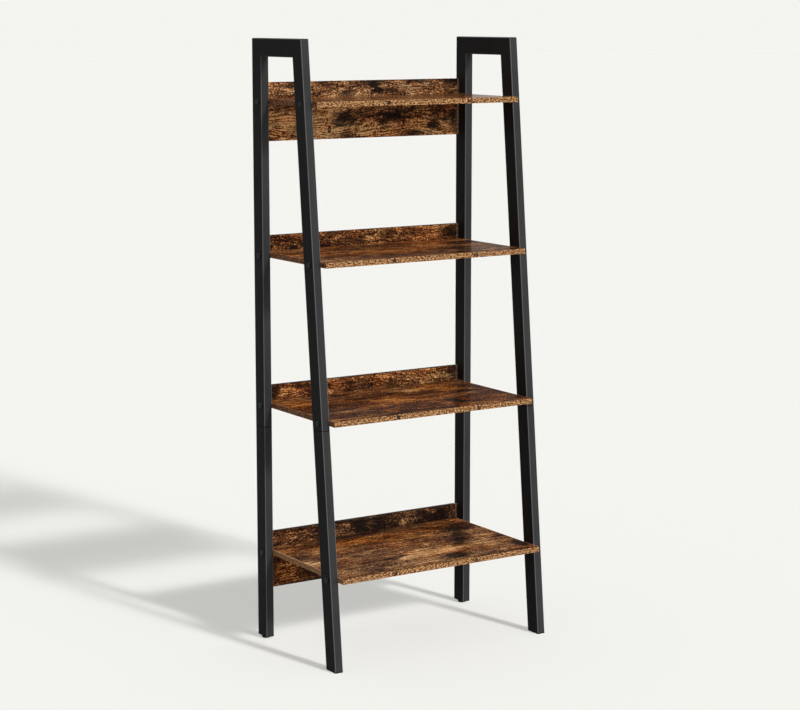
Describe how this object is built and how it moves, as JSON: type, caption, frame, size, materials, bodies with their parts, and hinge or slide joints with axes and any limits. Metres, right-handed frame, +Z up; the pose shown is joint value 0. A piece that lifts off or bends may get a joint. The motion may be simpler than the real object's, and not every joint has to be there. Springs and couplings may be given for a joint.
{
  "type": "ladder shelf",
  "caption": "Free-standing ladder shelf: leaning black steel side frames carry wood-look shelves that get deeper towards the floor, with back boards and screw feet for levelling.",
  "frame": {"origin": "on the floor, under the middle of the shelf's width and depth", "axes": "+Z up, front faces -Y, +X to the right as seen from the front"},
  "size_m": [0.5714, 0.345, 1.36],
  "materials": {
    "powder_coated_steel": "satin black powder coat",
    "wood_laminate": "rustic brown wood-look laminate, semi-gloss",
    "edge_band": "speckled tan edge band, matte",
    "black_plastic": "moulded black plastic, fine texture",
    "black_bolt_steel": "black zinc-plated steel",
    "zinc_plated_steel": "bright zinc-plated steel"
  },
  "bodies": {
    "shelf_unit": {"left_rear_upper_tube": "powder_coated_steel", "left_top_rail": "powder_coated_steel", "left_front_upper_tube": "powder_coated_steel", "left_rear_lower_leg": "powder_coated_steel", "left_front_lower_leg": "powder_coated_steel", "left_rear_splice": "zinc_plated_steel", "left_front_splice": "zinc_plated_steel", "left_shelf_bolts": "black_bolt_steel", "left_thread_sleeves": "zinc_plated_steel", "left_rear_plug": "black_plastic", "left_front_cap": "black_plastic", "right_rear_upper_tube": "powder_coated_steel", "right_top_rail": "powder_coated_steel", "right_front_upper_tube": "powder_coated_steel", "right_rear_lower_leg": "powder_coated_steel", "right_front_lower_leg": "powder_coated_steel", "right_rear_splice": "zinc_plated_steel", "right_front_splice": "zinc_plated_steel", "right_shelf_bolts": "black_bolt_steel", "right_thread_sleeves": "zinc_plated_steel", "right_rear_plug": "black_plastic", "right_front_cap": "black_plastic", "shelf_1": "wood_laminate", "shelf_1_front_band": "edge_band", "shelf_1_left_end_band": "edge_band", "shelf_1_right_end_band": "edge_band", "back_board_1": "wood_laminate", "shelf_2": "wood_laminate", "shelf_2_front_band": "edge_band", "shelf_2_left_end_band": "edge_band", "shelf_2_right_end_band": "edge_band", "back_board_2": "wood_laminate", "shelf_3": "wood_laminate", "shelf_3_front_band": "edge_band", "shelf_3_left_end_band": "edge_band", "shelf_3_right_end_band": "edge_band", "back_board_3": "wood_laminate", "shelf_4": "wood_laminate", "shelf_4_front_band": "edge_band", "shelf_4_left_end_band": "edge_band", "shelf_4_right_end_band": "edge_band", "back_board_4": "wood_laminate", "back_board_screws": "zinc_plated_steel"},
    "left_foot_stud": {"left_levelling_stud": "zinc_plated_steel"},
    "left_foot_turning_pad": {"left_foot_pad": "black_plastic"},
    "right_foot_stud": {"right_levelling_stud": "zinc_plated_steel"},
    "right_foot_turning_pad": {"right_foot_pad": "black_plastic"}
  },
  "joints": [
    {"name": "left_foot_travel", "type": "slide", "parent": "shelf_unit", "child": "left_foot_stud", "axis": [0, 0, -1], "range_m": [0, 0.0075]},
    {"name": "left_foot_turn", "type": "hinge", "parent": "left_foot_stud", "child": "left_foot_turning_pad", "pos_m": [-0.2725, 0.1525, 0], "axis": [0, 0, -1], "range_deg": [0, 2165]},
    {"name": "right_foot_travel", "type": "slide", "parent": "shelf_unit", "child": "right_foot_stud", "axis": [0, 0, -1], "range_m": [0, 0.0075]},
    {"name": "right_foot_turn", "type": "hinge", "parent": "right_foot_stud", "child": "right_foot_turning_pad", "pos_m": [0.2725, 0.1525, 0], "axis": [0, 0, -1], "range_deg": [0, 2165]}
  ],
  "couplings": [
    {"joint": "left_foot_turn", "follows": "left_foot_travel", "rad_per_m": 5026.5},
    {"joint": "right_foot_turn", "follows": "right_foot_travel", "rad_per_m": 5026.5}
  ]
}
